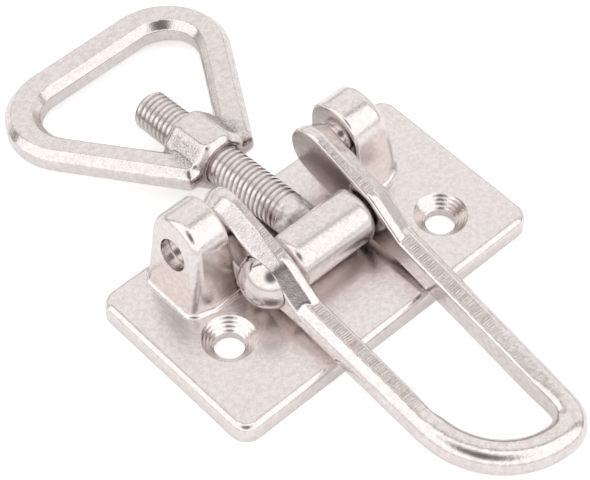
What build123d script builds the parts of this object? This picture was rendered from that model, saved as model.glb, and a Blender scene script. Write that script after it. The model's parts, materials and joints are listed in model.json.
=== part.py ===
from build123d import *
import os
from math import asin, atan2, cos, degrees, hypot, radians, sin, tan

# Adjustable over-centre toggle latch: a cast base with two ears, a forged lever handle that
# turns in the ears, and a forged tee bolt, hung in the handle on a rivet, that carries a
# threaded draw loop. Millimetres. The origin is on the base's underside, midway between the
# ears, +X runs along the pivots, +Y from the handle to the loop and +Z up. The latch lies shut.

# Base casting
plate_length = 90.0
plate_width = 50.0
plate_thickness = 5.0
plate_corner_radius = 4.4
plate_edge_radius = 2.1
plate_rear_edge_radius = 0.5
plate_shift = 0.6
plate_rear_margin = 2.6
screw_hole_diameter = 7.2
countersink_diameter = 12.8
countersink_angle = 90.0
left_screw_place = (-29.6, -3.4)
right_screw_place = (29.6, -10.7)

# Ears of the base, with the handle's pivot holes
pivot_y = 14.4
pivot_height = 18.8
pivot_hole_diameter = 8.0
ear_gap = 38.4
ear_foot_thickness = 13.2
ear_draft = 9.5
ear_top_y = 14.8
ear_top_height = 28.0
ear_top_radius = 7.9
ear_front_y = 3.8
ear_back_y = 22.4
ear_outer_edge_radius = 2.4
ear_inner_edge_radius = 1.0
ear_foot_fillet = 1.4
ear_facet_height = 19.0
ear_facet_width = 5.8
ear_facet_setback = 1.8

# Handle forging: two eye plates on trunnions, drawn down to a round bar bent to a U.
# The bend is wider on the left than on the right.
eye_gap = 23.4
eye_thickness = 6.2
eye_pivot_radius = 6.9
eye_rivet_radius = 7.2
eye_bevel_width = 3.8
eye_bevel_drop = 2.0
eye_inner_edge_chamfer = 0.5
trunnion_length = 10.2
handle_bar_diameter = 7.8
handle_bar_spacing = 28.4
leg_inner_flat = 2.5
leg_top_flat = 3.55
leg_top_lean = 8.0
handle_right_inset = 2.5
handle_neck_y = -13.0
handle_neck_height = 10.4
handle_neck_end_radius = 3.5
handle_end_y = -75.1
handle_left_bend_radius = 21.0

# Rivet through the two eyes and the tee bolt's head, domed on the left and flush on the right
rivet_y = -2.0
rivet_height = 13.7
rivet_diameter = 7.0
rivet_head_diameter = 13.8
rivet_head_height = 4.9
rivet_flush_diameter = 10.0

# Tee bolt forging
bolt_diameter = 10.0
bolt_length = 61.2
bolt_end_chamfer = 1.0
tee_length = 22.8
tee_nose_radius = 6.7
tee_back = 4.8
tee_edge_radius = 2.6
tee_end_radius = 2.4

# Draw loop forging, placed along the bolt from the rivet's axis
loop_front = 33.8
loop_front_width = 19.4
loop_side_angle = 32.3
loop_reach = 89.2
loop_bar_width = 8.0
loop_far_bar_width = 9.3
loop_thickness = 7.2
loop_edge_chamfer = 2.0
loop_corner_radius = 17.2
loop_inner_corner_radius = 8.6
loop_boss_width = 15.0
loop_boss_length = 14.0
loop_boss_corner_radius = 1.5
loop_boss_chamfer = 1.5

# Clearances
running_clearance = 0.06
side_clearance = 0.15

# Where the pieces meet
plate_middle = ear_back_y + plate_rear_margin - plate_width / 2
pivot = (pivot_y, pivot_height)
rivet_axis = (rivet_y, rivet_height)
eye_inner = eye_gap / 2
eye_outer = eye_inner + eye_thickness
eye_middle = eye_inner + eye_thickness / 2
trunnion_diameter = pivot_hole_diameter - 2 * running_clearance
ear_inner = ear_gap / 2
ear_outer = ear_inner + ear_foot_thickness
rivet_point = Vector(0, rivet_y, rivet_height)

# The bolt slopes down until the loop's far bar lies on the surface below the base
loop_rest_reach = loop_reach - loop_edge_chamfer
loop_rest_angle = asin((rivet_height - side_clearance) / hypot(loop_rest_reach, loop_thickness / 2))
bolt_tilt = degrees(loop_rest_angle - atan2(loop_thickness / 2, loop_rest_reach))
bolt_direction = Vector(0, cos(radians(bolt_tilt)), -sin(radians(bolt_tilt)))
bolt_normal = Vector(0, sin(radians(bolt_tilt)), cos(radians(bolt_tilt)))
bolt_plane = Plane(rivet_point, x_dir=(1, 0, 0), z_dir=bolt_direction)
loop_plane = Plane(rivet_point, x_dir=(1, 0, 0), z_dir=bolt_normal)


def cross_pin(radius, start, end, axis):
    """A round bar along X about an axis given by its Y and Z."""
    return extrude(Plane.YZ.offset(start) * Pos(*axis) * Circle(radius), end - start)


def plate_profile(sketch, start, end):
    """A Y-Z profile given its thickness along X."""
    return extrude(Plane.YZ.offset(start) * sketch, end - start)


def make_ear():
    """The right ear: a lug with a round top over a wide foot, drafted on its outer face."""
    round_top = Pos(ear_top_y, ear_top_height - ear_top_radius) * Circle(ear_top_radius)
    foot_line = Line((ear_front_y, 0), (ear_back_y, 0))
    outline = make_hull([*round_top.edges(), *foot_line.edges()])
    slope = tan(radians(ear_draft))
    foot_outer = ear_outer + plate_thickness * slope
    lug = plate_profile(outline, ear_inner, foot_outer)
    front_view = Polyline(
        (ear_inner, 0),
        (foot_outer, 0),
        (foot_outer - ear_top_height * slope, ear_top_height),
        (ear_inner, ear_top_height),
        close=True,
    )
    lug &= extrude(Plane.XZ * make_face(front_view), plate_width, both=True)
    lug = split(lug, ear_facet(lug, slope, foot_outer), keep=Keep.TOP)
    lug = fillet(upper_edges(lug.faces().sort_by(Axis.X)[-1]), ear_outer_edge_radius)
    return fillet(upper_edges(lug.faces().sort_by(Axis.X)[0]), ear_inner_edge_radius)


def ear_facet(lug, slope, foot_outer):
    """The plane of the flat that takes the ear's front corner away, wider towards the foot."""
    front = lug.faces().sort_by(Axis.Y)[0]
    front_lean = front.normal_at().Z / -front.normal_at().Y
    front_y = ear_front_y + plate_thickness * front_lean
    peak_y = ear_front_y + ear_facet_height * front_lean
    peak = Vector(foot_outer - ear_facet_height * slope, peak_y, ear_facet_height)
    outer_foot = Vector(ear_outer, front_y + ear_facet_setback, plate_thickness)
    inner_foot = Vector(ear_outer - ear_facet_width, front_y, plate_thickness)
    return Plane(peak, z_dir=(outer_foot - peak).cross(inner_foot - peak))


def upper_edges(face):
    """The edges of an upright face, without the one that it stands on."""
    return face.edges().sort_by(Axis.Z)[1:]


def make_rounded_plate(width, edge_radius):
    """A plate of this width from the base's front edge back, rounded all around its top."""
    middle = plate_middle + (width - plate_width) / 2
    plate = extrude(Pos(0, middle) * RectangleRounded(plate_length, width, plate_corner_radius), plate_thickness)
    return fillet(plate.faces().sort_by(Axis.Z)[-1].edges(), edge_radius)


def make_plate():
    """The base plate, well rounded at its front and sides and less at its rear, behind the ears."""
    rear_overrun = 2 * plate_corner_radius
    front_and_sides = make_rounded_plate(plate_width + rear_overrun, plate_edge_radius)
    return make_rounded_plate(plate_width, plate_rear_edge_radius) & front_and_sides


def make_base_side(shift):
    """The right side of the casting, with its plate moved along X: plate and ear, blended."""
    side = Pos(shift, 0, 0) * make_plate() + make_ear()
    flat_top = side.faces().filter_by(Axis.Z).sort_by(Axis.Z)[-1]
    side = fillet(flat_top.inner_wires().edges(), ear_foot_fillet)
    return split(side, Plane.YZ, keep=Keep.TOP)


def make_base():
    """The casting: a plate with rounded corners, two ears and two countersunk holes."""
    casting = make_base_side(plate_shift) + mirror(make_base_side(-plate_shift), Plane.YZ)
    casting -= cross_pin(pivot_hole_diameter / 2, -plate_length, plate_length, pivot)
    for place in (left_screw_place, right_screw_place):
        casting -= Pos(*place, plate_thickness) * CounterSinkHole(
            screw_hole_diameter / 2, countersink_diameter / 2, plate_thickness, countersink_angle
        )
    return casting


def make_eye():
    """The right eye plate with its neck and trunnion, bevelled on its outer side."""
    rivet_end = Pos(*rivet_axis) * Circle(eye_rivet_radius)
    pivot_end = Pos(*pivot) * Circle(eye_pivot_radius)
    neck_end = Pos(handle_neck_y, handle_neck_height) * Circle(handle_neck_end_radius)
    outline = make_hull([*rivet_end.edges(), *pivot_end.edges()])
    outline += make_hull([*rivet_end.edges(), *neck_end.edges()])
    eye = plate_profile(outline, eye_inner, eye_outer)
    outer_face = eye.faces().sort_by(Axis.X)[-1]
    eye = chamfer(outer_face.edges(), eye_bevel_drop, eye_bevel_width, reference=outer_face)
    eye = chamfer(eye.faces().sort_by(Axis.X)[0].edges(), eye_inner_edge_chamfer)
    return eye + cross_pin(trunnion_diameter / 2, eye_middle, eye_outer + trunnion_length, pivot)


def leg_section(inner):
    """A leg of the bar: round but for its inner side and its top, which the trimming left flat."""
    bar_radius = handle_bar_diameter / 2
    waste = Rectangle(4 * bar_radius, 4 * bar_radius)
    section = Circle(bar_radius) - Pos(leg_inner_flat + 2 * bar_radius, 0) * waste
    section -= Rot(0, 0, -leg_top_lean) * Pos(0, leg_top_flat + 2 * bar_radius) * waste
    return section if inner < 0 else mirror(section, Plane.XZ)


def make_leg(bend_end, neck, inner):
    """A leg from the bend to its neck, closed by a dome. Its inner side looks along +X or -X."""
    run = Line(bend_end, neck)
    along = run % 0
    inward = along.cross(Vector(0, 0, inner))
    section = leg_section(inner)
    leg = extrude(Plane(run @ 0, x_dir=inward, z_dir=along) * section, run.length)
    dome = extrude(Plane(run @ 1, x_dir=inward, z_dir=along) * section, handle_bar_diameter / 2)
    return leg + (dome & Pos(*neck) * Sphere(handle_bar_diameter / 2))


def make_bar(length):
    """The handle's bent bar in its own plane, from one neck at Y 0 down to -length and back."""
    section = Circle(handle_bar_diameter / 2)
    right = handle_bar_spacing / 2
    left = -right
    middle = left + handle_left_bend_radius
    right_bend_radius = right - handle_right_inset - middle
    left_bend_y = handle_left_bend_radius - length
    right_bend_y = right_bend_radius - length
    lean = right_side_lean((right, 0), (middle, right_bend_y), right_bend_radius)
    right_bend = CenterArc((middle, right_bend_y), right_bend_radius, -90, 90 - lean)
    bar = make_leg((left, left_bend_y), (left, 0), 1)
    bar += make_leg(right_bend @ 1, (right, 0), -1)
    bar += revolve(
        Plane((left, left_bend_y, 0), z_dir=(0, -1, 0)) * section,
        Axis((middle, left_bend_y, 0), (0, 0, 1)),
        90,
    )
    bar += revolve(
        Plane((middle, -length, 0), z_dir=(1, 0, 0)) * section,
        Axis((middle, right_bend_y, 0), (0, 0, 1)),
        90 - lean,
    )
    return bar


def make_handle():
    """The lever: both eyes and the bent bar as one forging."""
    bar_radius = handle_bar_diameter / 2
    end_drop = handle_neck_height - bar_radius
    end_run = handle_neck_y - (handle_end_y + bar_radius)
    bar_length = hypot(end_drop, end_run)
    bar_plane = Plane(
        (0, handle_neck_y, handle_neck_height),
        x_dir=(1, 0, 0),
        z_dir=(0, -end_drop / bar_length, end_run / bar_length),
    )
    eye = make_eye()
    handle = bar_plane * make_bar(bar_length) + [eye, mirror(eye, Plane.YZ)]
    return handle - rivet_hole()


def right_side_lean(start, centre, radius):
    """The angle by which a straight side from a point leans, where it touches a bend."""
    run = start[1] - centre[1]
    offset = start[0] - centre[0]
    reach = hypot(run, offset)
    return degrees(atan2(offset, run) - asin(radius / reach))


def rivet_hole():
    """The hole for the rivet through both eyes, countersunk on the right for its flush end."""
    hole = cross_pin(rivet_diameter / 2 + running_clearance, -eye_outer, eye_outer, rivet_axis)
    return hole + flush_cone(running_clearance)


def flush_cone(clearance):
    """The cone of the rivet's flush end, let into the right eye's outer face."""
    depth = (rivet_flush_diameter - rivet_diameter) / 2
    place = Pos(eye_outer - depth / 2, *rivet_axis) * Rot(0, 90, 0)
    return place * Cone(rivet_diameter / 2 + clearance, rivet_flush_diameter / 2 + clearance, depth)


def make_rivet():
    """The rivet: a domed head on the left eye and a flush end closed in the right one."""
    seat = eye_outer + side_clearance
    head_radius = rivet_head_diameter / 2
    dome_radius = (head_radius**2 + rivet_head_height**2) / (2 * rivet_head_height)
    dome_angle = degrees(atan2(head_radius, dome_radius - rivet_head_height))
    dome_centre = dome_radius - seat - rivet_head_height
    dome = CenterArc((dome_centre, 0), dome_radius, 180 - dome_angle, dome_angle)
    rest = Polyline(
        dome @ 1,
        (eye_outer, 0),
        (eye_outer, rivet_diameter / 2),
        (-seat, rivet_diameter / 2),
        dome @ 0,
    )
    section_plane = Plane(rivet_point, x_dir=(1, 0, 0), z_dir=(0, -1, 0))
    pin = revolve(section_plane * make_face([dome, rest]), Axis(rivet_point, (1, 0, 0)))
    return pin + flush_cone(0)


def make_tee_bolt():
    """The draw bolt: a flat-sided tee head with a round nose, and its screwed shank."""
    nose_side = Pos(-tee_nose_radius / 2, 0) * Rectangle(tee_nose_radius, 2 * tee_nose_radius)
    outline = Circle(tee_nose_radius) & nose_side
    outline += Pos(tee_back / 2, 0) * Rectangle(tee_back, 2 * tee_nose_radius)
    outline = fillet(outline.vertices().group_by(Axis.X)[-1], tee_edge_radius)
    tee_plane = Plane(rivet_point, x_dir=bolt_direction, z_dir=(1, 0, 0))
    head = extrude(tee_plane * outline, tee_length / 2, both=True)
    head = fillet(head.faces().filter_by(Axis.X).edges(), tee_end_radius)
    shank = extrude(bolt_plane * Circle(bolt_diameter / 2), bolt_length)
    shank = chamfer(shank.edges().sort_by(Axis.Y)[-1], bolt_end_chamfer)
    bolt = head + shank
    return bolt - cross_pin(rivet_diameter / 2 + running_clearance, -tee_length, tee_length, rivet_axis)


def make_loop():
    """The draw loop: a rounded triangle of chamfered bar with a threaded boss at its front."""
    spread = tan(radians(loop_side_angle))
    far_half_width = loop_front_width / 2 + (loop_reach - loop_front) * spread
    outline = Polygon(
        (-loop_front_width / 2, loop_front),
        (loop_front_width / 2, loop_front),
        (far_half_width, loop_reach),
        (-far_half_width, loop_reach),
        align=None,
    )
    outline = fillet(outline.vertices().group_by(Axis.Y)[-1], loop_corner_radius)
    side_inset = loop_bar_width / cos(radians(loop_side_angle))
    inner_far = loop_reach - loop_far_bar_width
    inner_half_width = far_half_width - loop_far_bar_width * spread - side_inset
    inner_apex = inner_far - inner_half_width / spread
    opening = Polygon(
        (0, inner_apex), (inner_half_width, inner_far), (-inner_half_width, inner_far), align=None
    )
    opening = fillet(opening.vertices().group_by(Axis.Y)[-1], loop_inner_corner_radius)
    ring = extrude(loop_plane * (outline - opening), loop_thickness / 2, both=True)
    ring_faces = ring.faces().filter_by(lambda face: abs(face.normal_at().dot(bolt_normal)) > 0.99)
    ring = chamfer(ring_faces.edges(), loop_edge_chamfer)
    boss_section = RegularPolygon(loop_boss_width / 2, 8, major_radius=False, rotation=22.5)
    boss_section = fillet(boss_section.vertices(), loop_boss_corner_radius)
    boss = extrude(bolt_plane.offset(loop_front) * boss_section, loop_boss_length)
    boss_ends = boss.faces().filter_by(lambda face: abs(face.normal_at().dot(bolt_direction)) > 0.99)
    boss = chamfer(boss_ends.edges(), loop_boss_chamfer)
    loop = ring + boss
    thread_bore = Circle(bolt_diameter / 2 + running_clearance)
    return loop - extrude(bolt_plane * thread_bore, loop_front + loop_boss_length)


base = make_base()
handle = make_handle()
rivet = make_rivet()
tee_bolt = make_tee_bolt()
loop = make_loop()

os.makedirs("parts", exist_ok=True)
export_step(base, "parts/base.step")
export_step(handle, "parts/handle.step")
export_step(rivet, "parts/rivet.step")
export_step(tee_bolt, "parts/tee_bolt.step")
export_step(loop, "parts/loop.step")
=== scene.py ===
import json
import math
import bmesh
import bpy
from mathutils import Matrix, Vector


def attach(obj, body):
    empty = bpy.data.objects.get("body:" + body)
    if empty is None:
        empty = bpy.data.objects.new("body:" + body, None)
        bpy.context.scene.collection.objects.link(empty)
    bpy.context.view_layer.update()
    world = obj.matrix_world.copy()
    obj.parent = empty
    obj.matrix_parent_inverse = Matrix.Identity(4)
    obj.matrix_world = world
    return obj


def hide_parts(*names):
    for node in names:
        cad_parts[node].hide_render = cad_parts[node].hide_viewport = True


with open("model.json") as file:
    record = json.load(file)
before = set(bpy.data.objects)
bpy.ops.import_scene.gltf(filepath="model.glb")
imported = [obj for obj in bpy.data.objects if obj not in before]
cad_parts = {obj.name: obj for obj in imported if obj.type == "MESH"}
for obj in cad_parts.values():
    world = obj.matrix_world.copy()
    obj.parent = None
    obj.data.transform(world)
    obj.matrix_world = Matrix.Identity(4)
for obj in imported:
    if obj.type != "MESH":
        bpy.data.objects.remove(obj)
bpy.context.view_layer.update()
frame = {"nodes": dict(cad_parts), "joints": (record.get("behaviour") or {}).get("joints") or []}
scene = bpy.context.scene

# Base: one iron casting with a flat plate, two ears and two countersunk screw holes.
# It was tumbled, its holes were drilled and countersunk, and then it was zinc plated,
# so its flats are softly mottled and its rounded edges are bright.
MM = 0.001
ZINC_MOTTLE = (0.82, 1.18)
LEVEL_FACES = (0.96, 0.99)
LEVEL_DULLNESS = 0.08
LEFT_SCREW = (-29.6 * MM, -3.4 * MM)
RIGHT_SCREW = (29.6 * MM, -10.7 * MM)
COUNTERSINK_RADIUS = 6.4 * MM
CUTTER_MARK_SPACING = 0.7 * MM
CUTTER_MARK_DEPTH = 0.022 * MM


def linear(hex_colour):
    """An sRGB hex colour as linear RGBA."""
    channels = [int(hex_colour[i:i + 2], 16) / 255 for i in (1, 3, 5)]
    return [c / 12.92 if c <= 0.04045 else ((c + 0.055) / 1.055) ** 2.4
            for c in channels] + [1.0]


def add_node(tree, kind, inputs=None, **settings):
    """A node with its settings and its inputs set or linked. Returns its first live output."""
    node = tree.nodes.new(kind)
    for name, value in settings.items():
        setattr(node, name, value)
    for name, value in (inputs or {}).items():
        live = [s for s in node.inputs if s.enabled and s.name == name]
        socket = node.inputs[name] if isinstance(name, int) else live[0]
        if isinstance(value, bpy.types.NodeSocket):
            tree.links.new(value, socket)
        else:
            socket.default_value = value
    return next(s for s in node.outputs if s.enabled)


def reckon(tree, operation, *values):
    """One step of arithmetic on numbers."""
    return add_node(tree, "ShaderNodeMath", dict(enumerate(values)), operation=operation)


def reckon_vectors(tree, operation, *vectors):
    """One step of arithmetic on vectors."""
    return add_node(tree, "ShaderNodeVectorMath", dict(enumerate(vectors)), operation=operation)


def part_of(tree, vector, letter):
    """A vector's X, Y or Z."""
    return add_node(tree, "ShaderNodeSeparateXYZ", {"Vector": vector}).node.outputs[letter]


def zinc_plate(name, light, dark, grain_mm, peel_mm, smooth, rough, relief_mm):
    """Bright zinc on tumbled metal: mottled pale grey, with a fine grain over a soft orange peel.
    Returns the material, its place, and the height in metres that its bump is made from."""
    material = bpy.data.materials.new(name)
    material.use_nodes = True
    tree = material.node_tree
    shader = tree.nodes["Principled BSDF"]
    shader.inputs["Metallic"].default_value = 1.0
    place = tree.nodes.new("ShaderNodeTexCoord").outputs["Object"]
    grain = add_node(tree, "ShaderNodeTexNoise", {
        "Vector": place, "Scale": 1 / (grain_mm * MM), "Detail": 3.0, "Roughness": 0.65})
    peel = add_node(tree, "ShaderNodeTexNoise", {
        "Vector": place, "Scale": 1 / (peel_mm * MM), "Detail": 2.0, "Roughness": 0.5})
    mottle = reckon(tree, "ADD", grain, peel)
    share = add_node(tree, "ShaderNodeMapRange", {
        "Value": mottle, "From Min": ZINC_MOTTLE[0], "From Max": ZINC_MOTTLE[1]})
    tint = add_node(tree, "ShaderNodeMix", {
        "Factor": share, "A": linear(dark), "B": linear(light)}, data_type="RGBA")
    gloss = add_node(tree, "ShaderNodeMapRange", {
        "Value": share, "To Min": rough, "To Max": smooth})
    tree.links.new(tint, shader.inputs["Base Color"])
    tree.links.new(gloss, shader.inputs["Roughness"])
    return material, place, reckon(tree, "MULTIPLY", mottle, relief_mm * MM)


def raise_bump(material, height):
    """Turns a height in metres into the shader's bump."""
    tree = material.node_tree
    bump = add_node(tree, "ShaderNodeBump", {"Height": height, "Strength": 1.0, "Distance": 1.0})
    tree.links.new(bump, tree.nodes["Principled BSDF"].inputs["Normal"])


base_zinc, base_place, base_height = zinc_plate(
    "zinc_plated_casting", "#E4DDDB", "#D9D0CD", grain_mm=0.36, peel_mm=1.2,
    smooth=0.09, rough=0.16, relief_mm=0.03)
base_tree = base_zinc.node_tree
base_roughness = base_tree.nodes["Principled BSDF"].inputs["Roughness"]
base_gloss = base_roughness.links[0].from_socket
facing = base_tree.nodes.new("ShaderNodeNewGeometry").outputs["True Normal"]
level = add_node(base_tree, "ShaderNodeMapRange", {
    "Value": part_of(base_tree, facing, "Z"), "From Min": LEVEL_FACES[0],
    "From Max": LEVEL_FACES[1], "To Max": LEVEL_DULLNESS})
base_tree.links.new(reckon(base_tree, "ADD", base_gloss, level), base_roughness)
for screw_x, screw_y in (LEFT_SCREW, RIGHT_SCREW):
    from_axis = reckon_vectors(base_tree, "ADD", base_place, (-screw_x, -screw_y, 0.0))
    across_axis = reckon_vectors(base_tree, "MULTIPLY", from_axis, (1.0, 1.0, 0.0))
    radius = reckon_vectors(base_tree, "LENGTH", across_axis)
    inside = reckon(base_tree, "LESS_THAN", radius, COUNTERSINK_RADIUS)
    phase = reckon(base_tree, "MULTIPLY", radius, 2 * math.pi / CUTTER_MARK_SPACING)
    ring = reckon(base_tree, "SINE", phase)
    mark = reckon(base_tree, "MULTIPLY", ring, CUTTER_MARK_DEPTH / 2)
    shown_mark = reckon(base_tree, "MULTIPLY", mark, inside)
    base_height = reckon(base_tree, "ADD", base_height, shown_mark)
raise_bump(base_zinc, base_height)

PLATE_TOP = 5.0 * MM
PLATE_MIDDLE_X = 0.6 * MM
PLATE_HALF_LENGTH = 45.0 * MM
PLATE_REAR = 25.0 * MM
PLATE_CORNER = 4.4 * MM
PLATE_ROUNDING = 2.1 * MM
PLATE_CUTS = 9
REAR_ZONE = (2.0 * MM, 6.6 * MM)
CASTING_SHARP = math.radians(30)
WELD_DISTANCE = 0.002 * MM


def welded(node_name):
    """A copy of a CAD node's mesh with its seams closed."""
    shape = bmesh.new()
    shape.from_mesh(frame["nodes"][node_name].data)
    bmesh.ops.remove_doubles(shape, verts=shape.verts, dist=WELD_DISTANCE)
    return shape


def cut_across(shape, place, direction, **options):
    """Cuts every face of a shape along the plane at a place, square to a direction."""
    bmesh.ops.bisect_plane(shape, geom=shape.verts[:] + shape.edges[:] + shape.faces[:],
                           plane_co=place, plane_no=direction, **options)


def set_down(name, shape):
    """A shape made an object of the scene."""
    mesh = bpy.data.meshes.new(name)
    shape.to_mesh(mesh)
    shape.free()
    piece = bpy.data.objects.new(name, mesh)
    scene.collection.objects.link(piece)
    return piece


def clad(piece, material):
    """Gives a piece its one material."""
    piece.data.materials.clear()
    piece.data.materials.append(material)


def as_mesh(piece):
    """The plain mesh that a piece's modifiers make."""
    bpy.context.view_layer.update()
    depsgraph = bpy.context.evaluated_depsgraph_get()
    return bpy.data.meshes.new_from_object(piece.evaluated_get(depsgraph))


def bake(piece):
    """Makes a piece's modifiers part of its mesh."""
    piece.data = as_mesh(piece)
    piece.modifiers.clear()


def plate_drop(x, y):
    """How far a rounded rear edge lies below the plate's top at a place."""
    corner_x = max(0.0, abs(x - PLATE_MIDDLE_X) - (PLATE_HALF_LENGTH - PLATE_CORNER))
    corner_y = max(0.0, y - (PLATE_REAR - PLATE_CORNER))
    if not corner_y:
        return 0.0
    outward = math.hypot(corner_x, corner_y) - (PLATE_CORNER - PLATE_ROUNDING)
    outward = min(PLATE_ROUNDING, max(0.0, outward))
    return PLATE_ROUNDING - math.sqrt(PLATE_ROUNDING ** 2 - outward ** 2)


casting = welded("base")
for cut in range(PLATE_CUTS):
    step = PLATE_CORNER * math.cos(math.radians(90) * (cut + 0.5) / PLATE_CUTS)
    rear_cut = PLATE_REAR - PLATE_CORNER + step
    side_cut = PLATE_HALF_LENGTH - PLATE_CORNER + step
    cut_across(casting, (0, rear_cut, 0), (0, 1, 0))
    cut_across(casting, (PLATE_MIDDLE_X + side_cut, 0, 0), (1, 0, 0))
    cut_across(casting, (PLATE_MIDDLE_X - side_cut, 0, 0), (1, 0, 0))
bmesh.ops.triangulate(casting, faces=casting.faces)
for vertex in casting.verts:
    drop = plate_drop(vertex.co.x, vertex.co.y)
    height = vertex.co.z
    if drop and REAR_ZONE[0] < height < REAR_ZONE[1]:
        vertex.co.z = height - drop if height > PLATE_TOP else min(height, PLATE_TOP - drop)
casting.normal_update()
for face in casting.faces:
    face.smooth = True
for edge in casting.edges:
    edge.smooth = edge.calc_face_angle(math.pi) < CASTING_SHARP
round_base = set_down("round_edged_base", casting)
clad(round_base, base_zinc)
flats = round_base.modifiers.new("flats", "WEIGHTED_NORMAL")
flats.keep_sharp = True
bake(round_base)
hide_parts("base")
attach(round_base, "base")

# Handle: a steel forging, with two eye plates on trunnions drawn down to a round bar bent to a U.
# Its flash was sheared off along the top, which left flat bands with marks across them on the
# eye plates and the straight legs, and the forging was then zinc plated.
HANDLE_GRAIN = 0.32 * MM
HANDLE_TUMBLING = 3
BEND_BLENDING = 90
BEND_REACH = 9.0 * MM
LEG_ENDS = (Vector((-14.2, -50.3, 6.2)) * MM, Vector((11.7, -66.3, 4.4)) * MM)


def plain_zinc(name, light, dark, **finish):
    """Zinc plate whose bump is its own relief alone."""
    material, _, relief = zinc_plate(name, light, dark, **finish)
    raise_bump(material, relief)
    return material


def soften(node_name, name, material, grain, tumbling, blending, share_at):
    """A CAD node's forging with its edges worn round, most of all where share_at(place) nears 1."""
    soft = set_down(name, welded(node_name))
    forging = soft.modifiers.new("forging", "REMESH")
    forging.mode = "VOXEL"
    forging.voxel_size = grain
    bake(soft)
    blended = soft.vertex_groups.new(name="blended")
    for vertex in soft.data.vertices:
        blended.add([vertex.index], min(1.0, max(0.0, share_at(vertex.co))), "REPLACE")
    for group_name, rounds in (("blended", blending), ("", tumbling)):
        wear = soft.modifiers.new("wear", "SMOOTH")
        wear.factor = 0.5
        wear.iterations = rounds
        wear.vertex_group = group_name
    bake(soft)
    soft.vertex_groups.clear()
    clad(soft, material)
    soft.data.shade_smooth()
    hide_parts(node_name)
    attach(soft, node_name)


handle_zinc = plain_zinc(
    "zinc_plated_forging", "#E4DDDB", "#D6CDCA", grain_mm=0.4, peel_mm=1.4,
    smooth=0.09, rough=0.16, relief_mm=0.03)


def bend_share(place):
    """How far the blending of the legs into the bend reaches a place: in full to half its reach."""
    nearest = min((place - end).length for end in LEG_ENDS)
    return 2 * (1 - nearest / BEND_REACH)


soften("handle", "soft_edged_handle", handle_zinc, HANDLE_GRAIN, HANDLE_TUMBLING, BEND_BLENDING,
       bend_share)

MARK_SPACING = 0.6 * MM
MARK_RADIUS = 0.24 * MM
MARK_CLUSTER = 2.4 * MM
MARK_RARITY = 0.45
MARK_SWAY = math.radians(6)
MARK_LEAST = (0.7, 0.3, 0.7)
MARK_MOST = (1.3, 0.95, 0.98)
sheared_zinc = plain_zinc(
    "zinc_plated_sheared_band", "#D2C9C6", "#BFB4B0", grain_mm=0.25, peel_mm=0.6,
    smooth=0.3, rough=0.42, relief_mm=0.03)


def new_group(name, numbers):
    """A Geometry Nodes group with named number inputs and a geometry output."""
    group = bpy.data.node_groups.new(name, "GeometryNodeTree")
    for number in numbers:
        group.interface.new_socket(number, in_out="INPUT", socket_type="NodeSocketFloat")
    group.interface.new_socket("Geometry", in_out="OUTPUT", socket_type="NodeSocketGeometry")
    return group


def close_group(group, geometry, material):
    """Ends a group: its instances made real and given their material."""
    real = add_node(group, "GeometryNodeRealizeInstances", {"Geometry": geometry})
    dressed = add_node(group, "GeometryNodeSetMaterial", {"Geometry": real, "Material": material})
    group.links.new(dressed, group.nodes.new("NodeGroupOutput").inputs["Geometry"])


def grow(group, name, numbers):
    """The plain mesh that a group makes with these numbers."""
    carrier = bpy.data.objects.new(name, bpy.data.meshes.new(name))
    scene.collection.objects.link(carrier)
    modifier = carrier.modifiers.new(name, "NODES")
    modifier.node_group = group
    for item in group.interface.items_tree:
        if item.in_out == "INPUT":
            modifier[item.identifier] = numbers[item.name]
    mesh = as_mesh(carrier)
    bpy.data.objects.remove(carrier)
    return mesh


band_marks = new_group("band_marks", ["Length", "Width", "Spacing", "Radius", "Seed"])
band_sizes = band_marks.nodes.new("NodeGroupInput").outputs
mark_share = reckon(band_marks, "DIVIDE", band_sizes["Length"], band_sizes["Spacing"])
mark_count = add_node(band_marks, "FunctionNodeFloatToInt", {"Float": mark_share})
mark_step = add_node(band_marks, "ShaderNodeCombineXYZ", {"X": band_sizes["Spacing"]})
mark_points = add_node(band_marks, "GeometryNodeMeshLine", {
    "Count": mark_count, "Offset": mark_step})
mark_place = add_node(band_marks, "GeometryNodeInputPosition")
chance_at = reckon_vectors(band_marks, "MULTIPLY", mark_place, (1 / MARK_CLUSTER, 1.0, 1.0))
cluster = add_node(band_marks, "ShaderNodeTexNoise", {
    "Vector": chance_at, "W": band_sizes["Seed"], "Scale": 1.0, "Detail": 1.0},
    noise_dimensions="4D")
rare = add_node(band_marks, "FunctionNodeCompare", {
    "A": cluster, "B": MARK_RARITY}, operation="LESS_THAN")
kept_points = add_node(band_marks, "GeometryNodeDeleteGeometry", {
    "Geometry": mark_points, "Selection": rare})
ridge = add_node(band_marks, "GeometryNodeMeshCylinder", {
    "Vertices": 4, "Radius": band_sizes["Radius"], "Depth": band_sizes["Width"]})
seed_number = add_node(band_marks, "FunctionNodeFloatToInt", {"Float": band_sizes["Seed"]})
sway = add_node(band_marks, "FunctionNodeRandomValue", {
    "Min": -MARK_SWAY, "Max": MARK_SWAY, "Seed": seed_number}, data_type="FLOAT")
lie = add_node(band_marks, "ShaderNodeCombineXYZ", {"X": math.radians(90), "Z": sway})
weight = add_node(band_marks, "FunctionNodeRandomValue", {
    "Min": MARK_LEAST, "Max": MARK_MOST, "Seed": seed_number}, data_type="FLOAT_VECTOR")
ridges = add_node(band_marks, "GeometryNodeInstanceOnPoints", {
    "Points": kept_points, "Instance": ridge, "Rotation": lie, "Scale": weight})
close_group(band_marks, ridges, sheared_zinc)

BAND_THICKNESS = 0.8 * MM
BAND_EDGE = 0.14 * MM
BAND_SINKING = 0.3 * MM


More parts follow.
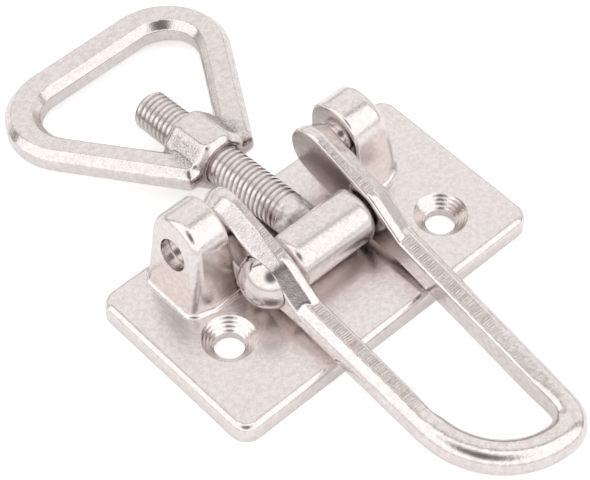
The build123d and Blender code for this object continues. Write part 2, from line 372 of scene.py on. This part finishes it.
def lay_band(name, start, end, up, width, start_share, inner, seed, fade):
    """A sheared band from start to end with its marks, its face looking up. It widens from a share
    of its width, keeps its inner edge straight (inner is -1 or 1), and sinks over the fade."""
    along = (end - start).normalized()
    across = up.cross(along).normalized()
    up = along.cross(across)
    length = (end - start).length
    body = bmesh.new()
    bmesh.ops.create_cube(body, size=1.0)
    bmesh.ops.scale(body, vec=(length, width, BAND_THICKNESS), verts=body.verts)
    bmesh.ops.translate(body, vec=(length / 2, 0, -BAND_THICKNESS / 2), verts=body.verts)
    upper = [e for e in body.edges if all(v.co.z > -BAND_THICKNESS / 2 for v in e.verts)]
    bmesh.ops.bevel(body, geom=upper, offset=BAND_EDGE, segments=2, profile=0.5, affect="EDGES")
    marks = grow(band_marks, name + "_marks", {
        "Length": length - 2 * MARK_SPACING, "Width": width - 2 * BAND_EDGE,
        "Spacing": MARK_SPACING, "Radius": MARK_RADIUS, "Seed": seed})
    marks.transform(Matrix.Translation((MARK_SPACING, 0, 0)))
    body.from_mesh(marks)
    bpy.data.meshes.remove(marks)
    cut_across(body, (length - fade, 0, 0), (1, 0, 0))
    straight_edge = inner * width / 2
    for vertex in body.verts:
        vertex.co.z -= BAND_SINKING * max(0.0, vertex.co.x - (length - fade)) / fade
        share = start_share + (1 - start_share) * min(1.0, max(0.0, vertex.co.x / length))
        vertex.co.y = straight_edge + (vertex.co.y - straight_edge) * share
    band = set_down(name, body)
    axes = Matrix((along, across, up)).transposed().to_4x4()
    band.data.transform(Matrix.Translation(start) @ axes)
    clad(band, sheared_zinc)
    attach(band, "handle")


EYE_TOP_FRONT = (-4.0 * MM, 20.61 * MM)
EYE_TOP_BACK = (12.4 * MM, 25.4 * MM)
EYE_INNER = 11.7 * MM
EYE_BAND_INSET = 0.3 * MM
EYE_BAND_WIDTH = 2.9 * MM
EYE_BAND_START = 0.35
EYE_BAND_RISE = 0.06 * MM
EYE_BAND_FADE = 0.5 * MM
LEG_NECK = (-13.0 * MM, 10.4 * MM)
LEG_FOOT = (-71.2 * MM, 3.9 * MM)
LEG_X = 14.2 * MM
LEG_TOP = 3.6 * MM
RIGHT_INSET = 2.5 * MM
LEG_BAND_WIDTH = 2.9 * MM
LEG_BAND_LEAN = math.radians(8)
LEG_BAND_SHIFT = 0.15 * MM
LEG_BAND_START = 0.8 * MM
LEG_BAND_FADE = 9.0 * MM
LEFT_BAND_LENGTH = 38.0 * MM
RIGHT_BAND_LENGTH = 36.0 * MM
LEFT_SEED = 3.0
RIGHT_SEED = 8.0
eye_run = Vector((0, EYE_TOP_FRONT[0] - EYE_TOP_BACK[0], EYE_TOP_FRONT[1] - EYE_TOP_BACK[1]))
eye_up = Vector((0, eye_run.z, -eye_run.y)).normalized()
for side, side_name, leg_band_length, inset, seed in (
        (-1, "left", LEFT_BAND_LENGTH, 0.0, LEFT_SEED),
        (1, "right", RIGHT_BAND_LENGTH, RIGHT_INSET, RIGHT_SEED)):
    eye_x = side * (EYE_INNER + EYE_BAND_INSET + EYE_BAND_WIDTH / 2)
    lay_band("sheared_band_eye_" + side_name,
             Vector((eye_x, *EYE_TOP_BACK)) + eye_up * EYE_BAND_RISE,
             Vector((eye_x, *EYE_TOP_FRONT)) + eye_up * EYE_BAND_RISE, eye_up,
             EYE_BAND_WIDTH, EYE_BAND_START, -side, seed, EYE_BAND_FADE)
    leg_start = Vector((side * LEG_X, *LEG_NECK))
    leg_run = (Vector((side * (LEG_X - inset), *LEG_FOOT)) - leg_start).normalized()
    leg_up = Vector((-side * math.sin(LEG_BAND_LEAN), 0, math.cos(LEG_BAND_LEAN)))
    leg_up = (leg_up - leg_run * leg_up.dot(leg_run)).normalized()
    leg_top = leg_start + leg_up * LEG_TOP + leg_up.cross(leg_run) * (side * LEG_BAND_SHIFT)
    lay_band("sheared_band_leg_" + side_name,
             leg_top + leg_run * LEG_BAND_START,
             leg_top + leg_run * (LEG_BAND_START + leg_band_length), leg_up,
             LEG_BAND_WIDTH, 1.0, -side, seed + 1.0, LEG_BAND_FADE)

# Rivet: a turned steel pin through both eyes and the tee bolt's head, with a pressed dome on
# the left and closed flush on the right. Its dome was polished by the die and plated bright.
rivet_zinc = plain_zinc(
    "zinc_plated_bright_dome", "#DDD5D2", "#D0C7C4", grain_mm=0.8, peel_mm=3.0,
    smooth=0.08, rough=0.14, relief_mm=0.004)
clad(frame["nodes"]["rivet"], rivet_zinc)

# Tee bolt: a steel forging with a cross head, and a shank with a rolled M10 thread.
# The thread runs the length of the shank from just behind the head, and the bolt is zinc plated.
BOLT_FOOT = Vector((0.0, -2.0 * MM, 13.7 * MM))
BOLT_RADIUS = 5.0 * MM
BOLT_LENGTH = 61.2 * MM
BOLT_SHARP = math.radians(28)
THREAD_START = 10.5 * MM
THREAD_PITCH = 1.5 * MM
THREAD_DEPTH = 0.75 * MM
THREAD_CREST = 0.46
THREAD_ROOT = 0.1
THREAD_RUN_IN = 1.5 * THREAD_PITCH
THREAD_TIP = 1.0 * MM
THREAD_SIDES = 48
THREAD_ROWS_PER_TURN = 12
loop_turn = next(joint for joint in frame["joints"] if joint["name"] == "loop_turn")
bolt_axis = Vector(loop_turn["axis"]).normalized()
thread_foot = BOLT_FOOT + bolt_axis * THREAD_START
bolt_zinc = plain_zinc(
    "zinc_plated_rolled_thread", "#E2DBD9", "#D4CBC8", grain_mm=0.3, peel_mm=1.0,
    smooth=0.15, rough=0.24, relief_mm=0.02)

# The thread starts as a flat sheet that is wound up on the shank: across it the sheet goes round
# once, and along it the turns are counted, so its two long edges meet one turn apart.
thread = new_group("bolt_thread", ["Length", "Radius", "Pitch", "Depth", "Tip", "Rows"])
thread_sizes = thread.nodes.new("NodeGroupInput").outputs
whole_turns = reckon(thread, "DIVIDE", thread_sizes["Length"], thread_sizes["Pitch"])
turns = reckon(thread, "ADD", reckon(thread, "CEIL", whole_turns), 1.0)
row_count = reckon(thread, "ADD", reckon(thread, "MULTIPLY", turns, thread_sizes["Rows"]), 1.0)
rows = add_node(thread, "FunctionNodeFloatToInt", {"Float": row_count})
sheet = add_node(thread, "GeometryNodeMeshGrid", {
    "Size X": 1.0, "Size Y": 1.0, "Vertices X": THREAD_SIDES + 1, "Vertices Y": rows})
sheet_place = add_node(thread, "GeometryNodeInputPosition")
around = reckon(thread, "ADD", part_of(thread, sheet_place, "X"), 0.5)
sheet_share = reckon(thread, "ADD", part_of(thread, sheet_place, "Y"), 0.5)
turn = reckon(thread, "MULTIPLY", sheet_share, turns)
rise = reckon(thread, "SUBTRACT", reckon(thread, "ADD", turn, around), 1.0)
rise = reckon(thread, "MULTIPLY", rise, thread_sizes["Pitch"])
rise = reckon(thread, "MINIMUM", reckon(thread, "MAXIMUM", rise, 0.0), thread_sizes["Length"])
flank = reckon(thread, "SUBTRACT", reckon(thread, "FRACT", turn), 0.5)
flank = reckon(thread, "MULTIPLY", reckon(thread, "ABSOLUTE", flank), 2.0)
groove = add_node(thread, "ShaderNodeMapRange", {
    "Value": flank, "From Min": THREAD_CREST, "From Max": THREAD_ROOT})
run_in = add_node(thread, "ShaderNodeMapRange", {
    "Value": rise, "From Min": 0.0, "From Max": THREAD_RUN_IN})
groove = reckon(thread, "MULTIPLY", groove, run_in)
groove = reckon(thread, "MULTIPLY", groove, thread_sizes["Depth"])
tip_start = reckon(thread, "SUBTRACT", thread_sizes["Length"], thread_sizes["Tip"])
tip_cut = reckon(thread, "MAXIMUM", reckon(thread, "SUBTRACT", rise, tip_start), 0.0)
cut_depth = reckon(thread, "MAXIMUM", groove, tip_cut)
thread_radius = reckon(thread, "SUBTRACT", thread_sizes["Radius"], cut_depth)
angle = reckon(thread, "MULTIPLY", around, 2 * math.pi)
wound_place = add_node(thread, "ShaderNodeCombineXYZ", {
    "X": reckon(thread, "MULTIPLY", thread_radius, reckon(thread, "COSINE", angle)),
    "Y": reckon(thread, "MULTIPLY", thread_radius, reckon(thread, "SINE", angle)),
    "Z": rise})
wound_sheet = add_node(thread, "GeometryNodeSetPosition", {
    "Geometry": sheet, "Position": wound_place})
lower_end = add_node(thread, "GeometryNodeMeshCircle", {
    "Vertices": THREAD_SIDES, "Radius": thread_sizes["Radius"]}, fill_type="NGON")
tip_radius = reckon(thread, "SUBTRACT", thread_sizes["Radius"], thread_sizes["Tip"])
tip_end = add_node(thread, "GeometryNodeMeshCircle", {
    "Vertices": THREAD_SIDES, "Radius": tip_radius}, fill_type="NGON")
tip_place = add_node(thread, "ShaderNodeCombineXYZ", {"Z": thread_sizes["Length"]})
tip_end = add_node(thread, "GeometryNodeTransform", {
    "Geometry": tip_end, "Translation": tip_place})
joined = thread.nodes.new("GeometryNodeJoinGeometry")
for skin in (wound_sheet, lower_end, tip_end):
    thread.links.new(skin, joined.inputs[0])
closed = add_node(thread, "GeometryNodeMergeByDistance", {
    "Geometry": joined.outputs[0], "Distance": WELD_DISTANCE})
close_group(thread, closed, bolt_zinc)

thread_mesh = grow(thread, "bolt_thread", {
    "Length": BOLT_LENGTH - THREAD_START, "Radius": BOLT_RADIUS, "Pitch": THREAD_PITCH,
    "Depth": THREAD_DEPTH, "Tip": THREAD_TIP, "Rows": float(THREAD_ROWS_PER_TURN)})
upright = Vector((0, 0, 1)).rotation_difference(bolt_axis).to_matrix().to_4x4()
thread_mesh.transform(Matrix.Translation(thread_foot) @ upright)
bolt_shape = welded("tee_bolt")
cut_across(bolt_shape, thread_foot, bolt_axis, clear_outer=True)
bmesh.ops.holes_fill(bolt_shape, edges=[e for e in bolt_shape.edges if e.is_boundary], sides=0)
bolt_shape.from_mesh(thread_mesh)
bpy.data.meshes.remove(thread_mesh)
bmesh.ops.recalc_face_normals(bolt_shape, faces=bolt_shape.faces)
threaded_bolt = set_down("threaded_tee_bolt", bolt_shape)
clad(threaded_bolt, bolt_zinc)
threaded_bolt.data.shade_smooth()
threaded_bolt.data.set_sharp_from_angle(angle=BOLT_SHARP)
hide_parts("tee_bolt")
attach(threaded_bolt, "tee_bolt")

# Loop: a steel forging, a rounded triangle of bar with chamfered edges and a tapped octagonal
# boss, screwed onto the bolt. It was tumbled until its edges were soft, and zinc plated.
# The boss's flanks get painted shade: their colour is darkened, with a speckle in it.
LOOP_GRAIN = 0.28 * MM
LOOP_TUMBLING = 5
BOSS_MIDDLE = 39.0 * MM
BOSS_BLENDING = 60
BOSS_REACH = 15.0 * MM
BOSS_REACH_FADE = 6.0 * MM
BORE_KEPT = 6.2 * MM
BORE_FADE = 0.62 * MM
# Painted shade on the boss's flanks: where it falls, its speckle grain, and how dark it makes the
# colour.
FLANK_SHADE_REACH = (11.0 * MM, 8.8 * MM)
FLANK_SHADE_ASIDE = (3.2 * MM, 4.8 * MM)
FLANK_SHADE_FRONT = (-3.6 * MM, -2.52 * MM)
FLANK_SHADE_GRAIN = 0.4 * MM
SHADE_SPECKLE_RANGE = (0.38, 0.62)
SHADE_SPECKLE_DARK = 0.52
SHADE_SPECKLE_LIGHT = 0.86
boss = BOLT_FOOT + bolt_axis * BOSS_MIDDLE
loop_zinc, loop_place, loop_height = zinc_plate(
    "zinc_plated_loop", "#E0D9D7", "#D2C9C6", grain_mm=0.4, peel_mm=1.4,
    smooth=0.09, rough=0.16, relief_mm=0.03)
loop_tree = loop_zinc.node_tree
from_boss = reckon_vectors(loop_tree, "SUBTRACT", loop_place, boss)
sideways = reckon(loop_tree, "ABSOLUTE", part_of(loop_tree, loop_place, "X"))
# scale is the mask of the painted shade on the boss's flanks: near the boss, to each side of it,
# and behind its front.
scale = 1.0
for distance, limits in (
        (reckon_vectors(loop_tree, "LENGTH", from_boss), FLANK_SHADE_REACH),
        (sideways, FLANK_SHADE_ASIDE),
        (reckon_vectors(loop_tree, "DOT_PRODUCT", from_boss, bolt_axis), FLANK_SHADE_FRONT)):
    within = add_node(loop_tree, "ShaderNodeMapRange", {
        "Value": distance, "From Min": limits[0], "From Max": limits[1]})
    scale = reckon(loop_tree, "MULTIPLY", scale, within)
flank_shade_grain = add_node(loop_tree, "ShaderNodeTexNoise", {
    "Vector": loop_place, "Scale": 1 / FLANK_SHADE_GRAIN, "Detail": 2.0, "Roughness": 0.6})
shade_speckle = add_node(loop_tree, "ShaderNodeMapRange", {
    "Value": flank_shade_grain, "From Min": SHADE_SPECKLE_RANGE[0], "From Max": SHADE_SPECKLE_RANGE[1],
    "To Min": SHADE_SPECKLE_DARK, "To Max": SHADE_SPECKLE_LIGHT})
loop_colour = loop_tree.nodes["Principled BSDF"].inputs["Base Color"]
# The loop's colour is multiplied by the speckled painted shade on the boss's flanks.
flank_shaded = add_node(loop_tree, "ShaderNodeMix", {
    "Factor": scale, "A": loop_colour.links[0].from_socket, "B": shade_speckle},
    data_type="RGBA", blend_type="MULTIPLY")
loop_tree.links.new(flank_shaded, loop_colour)
raise_bump(loop_zinc, loop_height)


def boss_share(place):
    """How far the blending between boss and ring reaches a place: not into the thread's bore."""
    step = place - boss
    from_axis = (step - bolt_axis * step.dot(bolt_axis)).length
    near = min(1.0, max(0.0, (BOSS_REACH - step.length) / BOSS_REACH_FADE))
    return near * min(1.0, max(0.0, (from_axis - BORE_KEPT) / BORE_FADE))


soften("loop", "soft_edged_loop", loop_zinc, LOOP_GRAIN, LOOP_TUMBLING, BOSS_BLENDING, boss_share)

# Floor: a plain sheet of white paper that the latch lies on, wider than any view of it.
# It keeps the latch's pale shadow, and its slight glow makes it white to the camera.
FLOOR_SIZE = 6.0
FLOOR_DROP = 0.1 * MM
PAPER_GLOW = 0.5
PAPER_BOUNCE = 0.2
bpy.ops.mesh.primitive_plane_add(size=FLOOR_SIZE, location=(0, 0, -FLOOR_DROP))
floor = bpy.context.object
floor.name = "floor"
floor_paper = bpy.data.materials.new("white_paper")
floor_paper.use_nodes = True
paper_tree = floor_paper.node_tree
paper = paper_tree.nodes["Principled BSDF"]
paper.inputs["Base Color"].default_value = linear("#F0F0F0")
paper.inputs["Roughness"].default_value = 0.9
paper.inputs["Specular IOR Level"].default_value = 0.0
paper.inputs["Emission Color"].default_value = linear("#FFFFFF")
seen = paper_tree.nodes.new("ShaderNodeLightPath").outputs["Is Camera Ray"]
glow = add_node(paper_tree, "ShaderNodeMapRange", {
    "Value": seen, "To Min": PAPER_BOUNCE, "To Max": PAPER_GLOW})
paper_tree.links.new(glow, paper.inputs["Emission Strength"])
clad(floor, floor_paper)

# Room: white studio walls around the sheet, brightest behind the camera and dimmer near the floor.
# A dark curtain hangs across them, bent aside at one gap, and the camera stands in a dim opening,
# so that the bright zinc has something dark to mirror.
ROOM_FAR = 1.09
ROOM_NEAR = 1.45
ROOM_FRONT = (-0.679, -0.734, 0.0)
ROOM_ASIDE = (0.734, -0.679, 0.0)
ROOM_LOW = 0.55
ROOM_LOW_HEIGHTS = (0.08, 0.22)
CURTAIN_DARK = 0.1
CURTAIN_EDGES = (0.35, 0.374, 0.394, 0.425)
CURTAIN_GAP = -0.05
CURTAIN_BEND = 0.05
CURTAIN_BEND_REACH = (0.1, 0.25)
OPENING_TOWARDS = (-0.410, -0.443, 0.797)
OPENING_DARK = 0.22
OPENING_EDGES = (math.radians(28), math.radians(12))
world = bpy.data.worlds.new("white_room")
world.use_nodes = True
scene.world = world
room = world.node_tree
direction = room.nodes.new("ShaderNodeTexCoord").outputs["Generated"]
sideways = reckon_vectors(room, "DOT_PRODUCT", direction, ROOM_ASIDE)
from_gap = reckon(room, "ABSOLUTE", reckon(room, "SUBTRACT", sideways, CURTAIN_GAP))
bend = add_node(room, "ShaderNodeMapRange", {
    "Value": from_gap, "From Min": CURTAIN_BEND_REACH[0], "From Max": CURTAIN_BEND_REACH[1],
    "To Min": CURTAIN_BEND, "To Max": 0.0})
depth = add_node(room, "ShaderNodeMapRange", {
    "Value": reckon_vectors(room, "DOT_PRODUCT", direction, ROOM_FRONT),
    "From Min": -1.0, "From Max": 1.0})
ramp = room.nodes.new("ShaderNodeValToRGB")
room.links.new(reckon(room, "SUBTRACT", depth, bend), ramp.inputs["Fac"])
stops = list(zip((0.0, *CURTAIN_EDGES, 1.0), (
    ROOM_FAR, ROOM_FAR, CURTAIN_DARK, CURTAIN_DARK, ROOM_NEAR, ROOM_NEAR)))
while len(ramp.color_ramp.elements) < len(stops):
    ramp.color_ramp.elements.new(0.5)
for element, (position, brightness) in zip(ramp.color_ramp.elements, stops):
    element.position = position
    element.color = (brightness, brightness, brightness, 1.0)
over_floor = add_node(room, "ShaderNodeMapRange", {
    "Value": part_of(room, direction, "Z"), "From Min": ROOM_LOW_HEIGHTS[0],
    "From Max": ROOM_LOW_HEIGHTS[1], "To Min": ROOM_LOW})
walls = add_node(room, "ShaderNodeVectorMath", {
    0: ramp.outputs["Color"], "Scale": over_floor}, operation="SCALE")
opening = add_node(room, "ShaderNodeMapRange", {
    "Value": reckon_vectors(room, "DOT_PRODUCT", direction, OPENING_TOWARDS),
    "From Min": math.cos(OPENING_EDGES[0]), "From Max": math.cos(OPENING_EDGES[1])})
mirrored = add_node(room, "ShaderNodeMix", {
    "Factor": opening, "A": walls, "B": (OPENING_DARK, OPENING_DARK, OPENING_DARK, 1.0)},
    data_type="RGBA")
seen = room.nodes.new("ShaderNodeLightPath").outputs["Is Camera Ray"]
shown = add_node(room, "ShaderNodeMix", {
    "Factor": seen, "A": mirrored, "B": (1.0, 1.0, 1.0, 1.0)}, data_type="RGBA")
room.links.new(shown, room.nodes["Background"].inputs["Color"])
room.nodes["Background"].inputs["Strength"].default_value = 1.0

# Camera: the photograph's view, from the handle's side and well above the latch,
# through a long lens that was fitted to the plate, the ears and the screw holes.
CAMERA_PLACE = (-0.210255, -0.2202, 0.413003)
CAMERA_AZIMUTH = math.radians(42.776)
CAMERA_ELEVATION = math.radians(52.842)
CAMERA_LENS = 135.98
camera_data = bpy.data.cameras.new("camera")
camera_data.lens = CAMERA_LENS
camera_data.sensor_width = 36.0
camera = bpy.data.objects.new("camera", camera_data)
camera.location = CAMERA_PLACE
camera.rotation_euler = (math.radians(90) - CAMERA_ELEVATION, 0.0, -CAMERA_AZIMUTH)
scene.collection.objects.link(camera)
scene.camera = camera
scene.view_settings.view_transform = "Standard"
